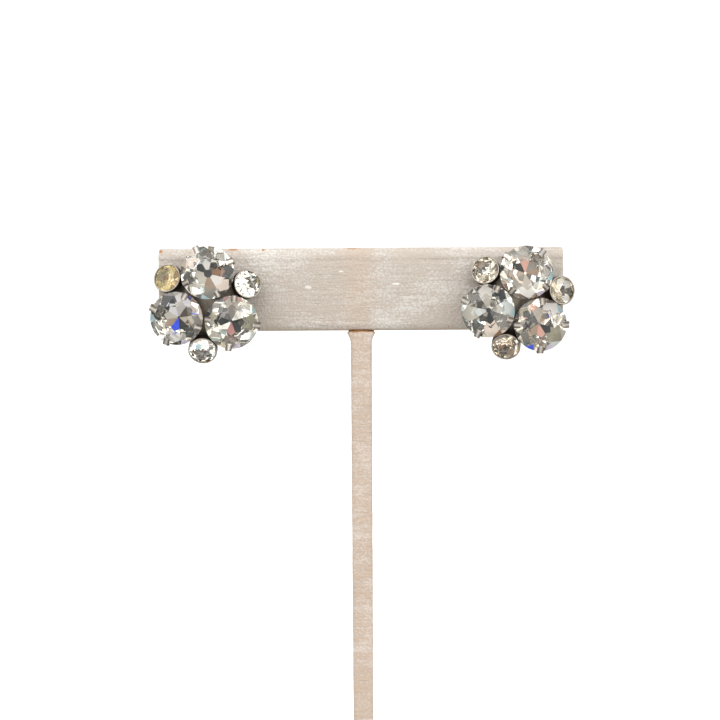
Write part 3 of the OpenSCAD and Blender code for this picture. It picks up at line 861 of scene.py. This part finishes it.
def plate_shape(sizes, lobe_ring):
    """Back plate: a disc with a lobe behind each small stone, its edge softened."""
    edge, steps, rim = 0.18 * MM, 180, 1.2 * MM
    profile = [(edge, 0), (edge * 0.3, edge * 0.3), (0, edge)]
    profile += [(inset, sizes.plate_thick - z) for inset, z in reversed(profile)]
    reaches = []
    for i in range(steps):
        reach = sizes.plate_radius
        for clock in (60, 180, 300):
            off = math.tau * i / steps - math.radians(90 - clock)
            side = lobe_ring * math.sin(off)
            if abs(side) < sizes.lobe_radius and math.cos(off) > 0:
                reach = max(reach, lobe_ring * math.cos(off) + math.sqrt(sizes.lobe_radius ** 2 - side ** 2))
        reaches.append(reach)
    shape = loft([[circle_point(reach - inset, 360 * i / steps, sizes.plate_gap + z)
                   for i, reach in enumerate(reaches)] for inset, z in profile])
    # Painted shade with some tarnish: the plate lies under the stones, clean in its middle and darker towards
    # its rim and lobes
    return filmed_and_shaded(shape, lambda place: 0.6 + 0.3 * (Vector(place.xy).length - sizes.plate_radius) / rim)


def large_cup_shape(stones, sizes):
    """Cup under a large stone: a cone that follows the pavilion down to a flat floor."""
    _, pavilion = cut_heights(stones, LARGE)
    rim, well, wall = stones.diameter[LARGE] / 2 - 0.1 * MM, CUP_WELL, sizes.cup_wall
    floor_at, well_at, rim_at = (pavilion(reach) - CUP_GAP for reach in (0, well, rim))
    # Tarnish and painted shade: the cup under the stone is darkened evenly
    return lathe([
        (0, floor_at), (well, floor_at), (well, well_at),
        (rim - 0.06 * MM, rim_at - 0.05 * MM), (rim, rim_at - 0.09 * MM), (rim, rim_at - wall),
        (rim - 0.1 * MM, rim_at - wall - 0.1 * MM),
        (well + wall, well_at - wall), (well + wall, floor_at - CUP_FLOOR), (0, floor_at - CUP_FLOOR),
    ], 72, lambda place: 0.55)


def bezel_foot_at(stones, sizes):
    """Height of a small cup's underside over the middle of its girdle."""
    _, pavilion = cut_heights(stones, SMALL)
    return pavilion(0) - BEZEL_SEAT - sizes.bezel_wall * 3


def bezel_cup_shape(stones, sizes):
    """Closed cup of a small stone, with a thin rim rolled just over the girdle."""
    crown, pavilion = cut_heights(stones, SMALL)
    radius, rim, foot_at = stones.diameter[SMALL] / 2, sizes.bezel_rim, bezel_foot_at(stones, sizes)
    inner, lip = radius + BEZEL_GAP, radius - sizes.bezel_lip
    outer = inner + sizes.bezel_wall
    bead, bead_steps = (outer - lip) / 2, 6

    # Painted light and shade on the rolled rim: its crest stays bright as a painted highlight, and its sides
    # and the wall below are darkened as painted shade
    def film_and_shade_at(place):
        off = (Vector(place.xy).length - lip - bead) / bead
        return 0.62 + 0.38 * off ** 2 + (rim - bead * 0.5 - place.z) / (0.25 * MM)

    profile = [(0, pavilion(0) - BEZEL_SEAT), (sizes.bezel_wall * 4, pavilion(0) - BEZEL_SEAT),
               (inner, pavilion(radius) - BEZEL_SEAT), (inner, crown(radius) + 0.08 * MM)]
    for step in range(bead_steps + 1):
        a = math.pi - math.pi * step / bead_steps
        profile.append((lip + bead + bead * math.cos(a), rim - bead * 0.8 + bead * 0.8 * math.sin(a)))
    profile += [(outer, -BEZEL_STRAIGHT), (BEZEL_FOOT, foot_at), (0, foot_at)]
    return lathe(profile, 72, film_and_shade_at)


def riser_shape(sizes):
    """Short riser under a small cup."""
    low, radius = sizes.plate_gap + sizes.plate_thick / 2, sizes.riser_radius
    # Tarnish and painted shade: the riser under the small cup is darkened
    return lathe([(0, low), (radius, low), (radius, RISER_TOP), (0, RISER_TOP)], 48, lambda place: 0.9)


def ring_tree():
    """Geometry nodes that stand a part at even steps on a ring, a thinner one where a neighbour is close."""
    tree = bpy.data.node_groups.new("ring_of_parts", "GeometryNodeTree")
    tree.interface.new_socket("Geometry", in_out="OUTPUT", socket_type="NodeSocketGeometry")
    for name, kind, value in (
            ("Part", "Object", None), ("Tight Part", "Object", None), ("Metal", "Material", None),
            ("Count", "Int", 3), ("First", "Float", 0.0), ("Ring", "Float", 0.0), ("Lift", "Float", 0.0),
            ("Lean", "Float", 0.0), ("Crowded From", "Float", math.tau), ("Sway", "Float", 0.0),
            ("Seed", "Int", 0)):
        made = tree.interface.new_socket(name, in_out="INPUT", socket_type="NodeSocket" + kind)
        if value is not None:
            made.default_value = value
    add = adder(tree)
    given = add("NodeGroupInput").node.outputs
    step = add("Math", {0: math.tau, 1: given["Count"]}, "DIVIDE")
    clock = add("Math", {0: add("GeometryNodeInputIndex"), 1: step, 2: given["First"]}, "MULTIPLY_ADD")
    x = add("Math", {0: add("Math", {0: clock}, "SINE"), 1: given["Ring"]}, "MULTIPLY")
    y = add("Math", {0: add("Math", {0: clock}, "COSINE"), 1: given["Ring"]}, "MULTIPLY")
    place = add("CombineXYZ", {0: x, 1: y, 2: given["Lift"]})
    points = add("GeometryNodePoints", {"Count": given["Count"], "Position": place})
    lean = add("Math", {0: given["Lean"], 1: -1.0}, "MULTIPLY")
    back = add("Math", {0: given["Sway"], 1: -1.0}, "MULTIPLY")
    sway = add("FunctionNodeRandomValue", {2: back, 3: given["Sway"], "Seed": given["Seed"]}, out=1)
    turn = add("Math", {0: sway, 1: clock}, "SUBTRACT")
    rotation = add("CombineXYZ", {0: lean, 2: turn})
    off = add("Math", {0: clock, 1: math.pi, 2: -math.pi}, "WRAP")
    off = add("Math", {0: off}, "ABSOLUTE")
    crowded = add("FunctionNodeCompare", {0: off, 1: given["Crowded From"]}, "GREATER_THAN")
    alone = add("FunctionNodeBooleanMath", {0: crowded}, "NOT")
    joined = add("GeometryNodeJoinGeometry")
    for part, chosen in (("Part", alone), ("Tight Part", crowded)):
        shape = add("GeometryNodeObjectInfo", {"Object": given[part]}, out="Geometry")
        stood = add("GeometryNodeInstanceOnPoints", {
            "Points": points, "Selection": chosen, "Instance": shape, "Rotation": rotation})
        tree.links.new(stood, joined.node.inputs[0])
    real = add("GeometryNodeRealizeInstances", {0: joined})
    done = add("GeometryNodeSetMaterial", {0: real, "Material": given["Metal"]})
    add("NodeGroupOutput", {0: done})
    return tree


def grown(tree, values):
    """Mesh that a geometry node tree makes from the given input values."""
    carrier = link_object("carrier", bpy.data.meshes.new("carrier"))
    growth = carrier.modifiers.new("growth", "NODES")
    growth.node_group = tree
    for item in tree.interface.items_tree:
        if item.in_out == "INPUT" and item.name in values:
            growth[item.identifier] = values[item.name]
    mesh = flattened(carrier)
    bpy.data.objects.remove(carrier)
    return mesh


def build_setting(side, cluster, stones, sizes, metal, tree):
    """The soldered metal of one earring: plate, cups, risers and prongs."""
    place = cluster_place(cluster, side)
    riser_ring = cluster.small_ring[side] + bezel_foot_at(stones, sizes) * math.sin(cluster.lean[SMALL])
    shapes = {
        "large_cup": large_cup_shape(stones, sizes),
        "bezel_cup": bezel_cup_shape(stones, sizes),
        "riser": riser_shape(sizes),
        "free_prong": prong_shape(stones, sizes, crowded=0, shade=0.0),
        # A tight prong stands between two stones and gets extra painted shade
        "tight_prong": prong_shape(stones, sizes, crowded=1, shade=0.15),
        "plate": plate_shape(sizes, riser_ring),
    }
    parts = {name: make_piece(name, shape, [metal], METAL_SHARP) for name, shape in shapes.items()}
    gathered = bmesh.new()

    def gather(mesh, where):
        mesh.transform(where)
        gathered.from_mesh(mesh)
        bpy.data.meshes.remove(mesh)

    for name, first, ring, lift, lean in (
            ("large_cup", 0, cluster.large_ring[side], cluster.lift[LARGE], cluster.lean[LARGE]),
            ("bezel_cup", 60, cluster.small_ring[side], cluster.lift[SMALL], cluster.lean[SMALL]),
            ("riser", 60, riser_ring, 0.0, 0.0)):
        gather(grown(tree, {"Part": parts[name], "Metal": metal, "First": math.radians(first), "Ring": ring,
                            "Lift": lift, "Lean": lean}), place)
    large_stones = [stone for stone in STONES if stone.node.startswith(SIDES[side] + "_large")]
    for seed, stone in enumerate(large_stones):
        # A prong points along X, and the ring's first part stands along Y
        where = stone_place(cluster, side, LARGE, stone.clock) @ Matrix.Rotation(math.pi / 2, 4, "Z")
        gather(grown(tree, {
            "Part": parts["free_prong"], "Tight Part": parts["tight_prong"], "Metal": metal, "Count": 4,
            "First": math.radians(stone.prongs), "Crowded From": CROWDED_FROM, "Sway": PRONG_SWAY,
            "Seed": seed}), where)
    gather(parts["plate"].data.copy(), place)
    for part in parts.values():
        bpy.data.objects.remove(part)
    piece = make_piece(SIDES[side] + "_setting_metal", gathered, [metal], METAL_SHARP)
    stands_for(piece, "setting_metal", SIDES[side] + "_setting")


def build_clip(side, cluster, sizes, setting, metal):
    """Spring clip: a foot behind the plate, a strip under the bar and a round paddle on its back."""
    half_thick, strip, turn = sizes.thick / 2, sizes.width / 2, cluster.turn[side]
    under = (BAR_SIZE.z / 2 - cluster.drop + CLIP_GAP + strip * math.sin(turn)) / math.cos(turn)
    low = -under - half_thick
    front, back = setting.plate_gap - half_thick, -BAR_SIZE.y - CLIP_GAP - half_thick
    path = rounded_path([
        (low - half_thick - CLIP_FOOT, front, 0),
        (low - 0.02 * MM, front, 0.2 * MM),
        (low, front - 0.5 * MM, 0.2 * MM),
        (low, back, sizes.bend - half_thick),
        (PADDLE_RISE + sizes.paddle_radius, back, 0),
    ], 0.25 * MM)

    def half_width_at(i):
        off = path[i].x - PADDLE_RISE
        if off < -sizes.paddle_radius or path[i].y > back + 0.1 * MM:
            return strip
        disc = math.sqrt(max(0.0, sizes.paddle_radius ** 2 - off ** 2))
        return max(disc, 0.12 * MM if off > 0 else strip)

    def section_at(half_width):
        radius = min(0.2 * MM, half_width * 0.9)
        return soft_loop(2 * half_width, sizes.thick, (radius,) * 4, 3, (1, 6))

    shape = filmed_and_shaded(sweep_strip(path, half_width_at, section_at), lambda place: 0.08)
    # The strip was swept in the XZ plane: its X becomes the cluster's Y, and its width the cluster's X
    upright = Matrix(((0, 1, 0, 0), (1, 0, 0, 0), (0, 0, 1, 0), (0, 0, 0, 1)))
    bmesh.ops.transform(shape, matrix=cluster_place(cluster, side) @ upright, verts=shape.verts)
    piece = make_piece(SIDES[side] + "_clip_metal", shape, [metal], METAL_SHARP)
    stands_for(piece, "clip_metal", SIDES[side] + "_clip")


def pale_floor():
    """Round matt floor: white to the camera, a little darker for the light it throws back up."""
    made, add = new_material("matt_white_floor")
    seen = add("LightPath", out="Is Camera Ray")
    pale = add("Mix", {0: seen, 6: linear("#B5B4B2"), 7: linear("#F8F8F7")}, out=2, data_type="RGBA")
    add("OutputMaterial", {"Surface": add("BsdfDiffuse", {"Color": pale})})
    shape = bmesh.new()
    bmesh.ops.create_circle(shape, cap_ends=True, segments=128, radius=FLOOR_RADIUS,
                            matrix=Matrix.Translation((0, 0, -0.02 * MM)))
    floor = make_piece("floor", shape, [made])
    floor.visible_glossy = floor.visible_transmission = False


def soft_room(studio):
    """Light tent: white where the camera sees it, with panels and gaps of its own in the reflections."""
    world = bpy.data.worlds.new("light_tent")
    bpy.context.scene.world = world
    world.use_nodes = True
    world.node_tree.nodes.clear()
    add = adder(world.node_tree)
    side_level, top_level = 1.0, 1.45
    gloss_share = 0.65  # how far the metal's reflections show the panels
    white = (1.2, 1.2, 1.2, 1)
    direction = add("TexCoord", out="Generated")
    axes = add("SeparateXYZ", {0: direction}).node.outputs
    overhead = add("MapRange", {0: axes["Z"], 1: 0.0, 2: 0.9, 3: side_level, 4: top_level})
    front = add("MapRange", {0: axes["Y"], 1: -0.95, 2: -0.1, 3: studio.front_level, 4: 1.0})
    room = add("Math", {0: overhead, 1: front}, "MULTIPLY")

    # Panels: cells of the room, each with its own brightness and a few with a faint colour, which the
    # sharp reflections in the stones and the metal show
    cells = add("Mapping", {"Vector": direction, "Rotation": (0.3, 0.2, 0.5)})
    cells = add("TexVoronoi", {"Vector": cells, "Scale": 6.0}, out="Color")
    pick = add("SeparateColor", {0: cells}).node.outputs
    greys = ((0.0, 0.05), (0.14, 0.2), (0.32, 0.45), (0.6, 0.8), (0.84, 1.3))
    level = add("ValToRGB", {0: pick["Red"]}, stops=[(start, (grey,) * 3) for start, grey in greys])
    hue = add("ValToRGB", {0: pick["Green"]}, stops=(
        (0.0, (1.0, 0.98, 0.94)), (0.72, (1.0, 0.82, 0.72)), (0.77, (0.96, 0.96, 0.96)),
        (0.85, (0.72, 0.9, 1.0)), (0.9, (0.9, 0.82, 1.0)), (0.94, (1.0, 0.9, 0.7))))
    level.node.color_ramp.interpolation = hue.node.color_ramp.interpolation = "CONSTANT"
    panels = add("VectorMath", {0: level, 1: hue}, "MULTIPLY")
    path = add("LightPath").node.outputs
    sharp = add("Math", {0: path["Is Glossy Ray"], 1: gloss_share}, "MULTIPLY")
    sharp = add("Math", {0: sharp, 1: path["Is Transmission Ray"]}, "MAXIMUM")
    seen = add("Mix", {0: sharp, 6: (1, 1, 1, 1), 7: panels}, out=2, data_type="RGBA")
    through = add("MapRange", {0: path["Is Transmission Ray"], 3: 1.0, 4: studio.glass_level})
    room = add("Math", {0: room, 1: through}, "MULTIPLY")
    lit = add("VectorMath", {0: seen, "Scale": room}, "SCALE")
    shown = add("Mix", {0: path["Is Camera Ray"], 6: lit, 7: white}, out=2, data_type="RGBA")
    add("OutputWorld", {"Surface": add("Background", {"Color": shown})})


def soft_light(name, power, place, width, height):
    """Rectangular soft light that faces the bar's underside and that the camera doesn't see."""
    data = bpy.data.lights.new(name, "AREA")
    data.energy, data.shape, data.size, data.size_y = power, "RECTANGLE", width, height
    made = link_object(name, data)
    made.location = place
    made.rotation_euler = (Vector((0, 0, BAR_LOW.z)) - Vector(place)).to_track_quat("-Z", "Y").to_euler()
    made.visible_camera = False


def aim_camera(studio):
    """Camera at the photograph's place: a little above the clusters, rolled a little clockwise."""
    data = bpy.data.cameras.new("photo_camera")
    data.sensor_width = 36.0
    data.lens = studio.focal_pixels * data.sensor_width / IMAGE_WIDTH
    data.clip_start, data.clip_end = 0.01, 100
    sine, cosine = math.sin(studio.elevation), math.cos(studio.elevation)
    back, right, up = Vector((0, -cosine, sine)), Vector((1, 0, 0)), Vector((0, sine, cosine))
    rolled = right * math.cos(studio.roll) - up * math.sin(studio.roll)
    upright = right * math.sin(studio.roll) + up * math.cos(studio.roll)
    target = Vector((studio.camera_side, BAR_LOW.y, studio.camera_height))
    camera = link_object("photo_camera", data)
    turned = Matrix((rolled, upright, back)).transposed().to_4x4()
    camera.matrix_world = Matrix.Translation(target + back * studio.camera_distance) @ turned
    bpy.context.scene.camera = camera


class EARRINGS_OT_stand_bar(bpy.types.Operator):
    """Builds the covered cross bar"""
    bl_idname = "earrings.stand_bar"
    bl_label = "Cross Bar"

    def execute(self, context):
        sizes, finishes, low = context.scene.stand_sizes, context.scene.finishes, BAR_LOW.z / MM
        # The colour given below for the bar's lower edge is painted shade, brownish
        cover = embossed_leatherette("leatherette_bar", finishes, (0.13, 0.8, 1.5), True,
                                     (-0.6, 5.5, 0.36), (low + 0.6, low - 0.1, finishes.darkened))
        socket = (TENON_WIDTH, BAR_LOW.z - 1 * MM, BAR_HIGH.z - BAR_CAP)
        build_cover("stand_bar", cover, bar_rings(sizes), bar_waves, sizes, socket)
        return {"FINISHED"}


class EARRINGS_OT_stand_post(bpy.types.Operator):
    """Builds the covered post"""
    bl_idname = "earrings.stand_post"
    bl_label = "Post"

    def execute(self, context):
        sizes, finishes = context.scene.stand_sizes, context.scene.finishes
        shoulder = (BAR_LOW.z - SOCKET_GAP) / MM
        cover = embossed_leatherette("leatherette_post", finishes, (0.12, 0.12, 1.0), False,
                                     (0.0, 500.0, 0.52), (shoulder - 0.3, shoulder - 0.15, finishes.glue))
        build_cover("stand_post", cover, post_rings(sizes), post_waves, sizes)
        return {"FINISHED"}


class EARRINGS_OT_stand_base(bpy.types.Operator):
    """Builds the covered base"""
    bl_idname = "earrings.stand_base"
    bl_label = "Base"

    def execute(self, context):
        sizes, finishes = context.scene.stand_sizes, context.scene.finishes
        cover = embossed_leatherette("leatherette_base", finishes, (0.8, 0.9, 1.2), clouds=0.2)
        socket = (sizes.post_width, POST_LOW.z - SOCKET_GAP, BASE_HIGH.z + 1 * MM)
        build_cover("stand_base", cover, base_rings(sizes), base_waves, sizes, socket)
        return {"FINISHED"}


class EARRINGS_OT_stones(bpy.types.Operator):
    """Cuts and foils all twelve stones"""
    bl_idname = "earrings.stones"
    bl_label = "Stones"

    def execute(self, context):
        scene, finishes, rng = context.scene, context.scene.finishes, random.Random(11)
        clear = [lead_crystal("lead_crystal", finishes.glass, 0.0), silver_foil("silver_foil", 0.02)]
        dulled = [lead_crystal("aged_crystal", finishes.aged_glass, 0.2), silver_foil("yellowed_foil", 0.22)]
        for stone in STONES:
            materials, slot = (dulled, "dulled_stone") if stone.greys is DULLED else (clear, "clear_stone")
            piece = build_stone(stone, scene.stone_sizes, scene.cluster_sizes, materials, rng)
            stands_for(piece, slot, stone.node)
        return {"FINISHED"}


class EARRINGS_OT_settings(bpy.types.Operator):
    """Builds the plates, cups and prongs of both earrings"""
    bl_idname = "earrings.settings"
    bl_label = "Settings"

    def execute(self, context):
        scene, tree = context.scene, ring_tree()
        metal = rhodium_plate("rhodium_setting", scene.finishes)
        for side in range(len(SIDES)):
            build_setting(side, scene.cluster_sizes, scene.stone_sizes, scene.setting_sizes, metal, tree)
        return {"FINISHED"}


class EARRINGS_OT_clips(bpy.types.Operator):
    """Builds the spring clips of both earrings"""
    bl_idname = "earrings.clips"
    bl_label = "Clips"

    def execute(self, context):
        scene = context.scene
        metal = rhodium_plate("rhodium_clip", scene.finishes)
        for side in range(len(SIDES)):
            build_clip(side, scene.cluster_sizes, scene.clip_sizes, scene.setting_sizes, metal)
        return {"FINISHED"}


class EARRINGS_OT_stage(bpy.types.Operator):
    """Sets the pale floor, the light tent, the soft lights and the camera"""
    bl_idname = "earrings.stage"
    bl_label = "Stage"

    def execute(self, context):
        studio = context.scene.studio
        pale_floor()
        soft_room(studio)
        soft_light("soft_key", studio.key_power, (-0.45, -0.35, 0.65), 0.5, 0.4)
        soft_light("soft_fill", studio.key_power * 0.4, (0.6, -0.3, 0.35), 0.3, 0.5)
        soft_light("soft_front", studio.front_power, (0.42, -0.7, 0.3), 0.3, 0.35)
        aim_camera(studio)
        context.scene.view_settings.view_transform = "Standard"
        return {"FINISHED"}


OPERATORS = (
    EARRINGS_OT_stand_bar,
    EARRINGS_OT_stand_post,
    EARRINGS_OT_stand_base,
    EARRINGS_OT_stones,
    EARRINGS_OT_settings,
    EARRINGS_OT_clips,
    EARRINGS_OT_stage,
)


class EARRINGS_PT_panel(bpy.types.Panel):
    """Lists the pieces and the stage"""
    bl_label = "Cluster Earrings"
    bl_idname = "EARRINGS_PT_panel"
    bl_space_type = "VIEW_3D"
    bl_region_type = "UI"
    bl_category = "Earrings"

    def draw(self, context):
        for made in OPERATORS:
            self.layout.operator(made.bl_idname)
        for name in SETTINGS:
            box = self.layout.box()
            group = getattr(context.scene, name)
            box.label(text=name.replace("_", " ").capitalize())
            for key in group.bl_rna.properties.keys():
                if key not in ("rna_type", "name"):
                    box.prop(group, key)


def register():
    for made in (*SETTINGS.values(), *OPERATORS, EARRINGS_PT_panel):
        bpy.utils.register_class(made)
    for name, made in SETTINGS.items():
        setattr(bpy.types.Scene, name, bpy.props.PointerProperty(type=made))


def unregister():
    for name in SETTINGS:
        delattr(bpy.types.Scene, name)
    for made in (EARRINGS_PT_panel, *reversed(OPERATORS), *reversed(list(SETTINGS.values()))):
        bpy.utils.unregister_class(made)


def main():
    register()
    for made in OPERATORS:
        group, name = made.bl_idname.split(".")
        getattr(getattr(bpy.ops, group), name)()


if __name__ == "__main__":
    main()
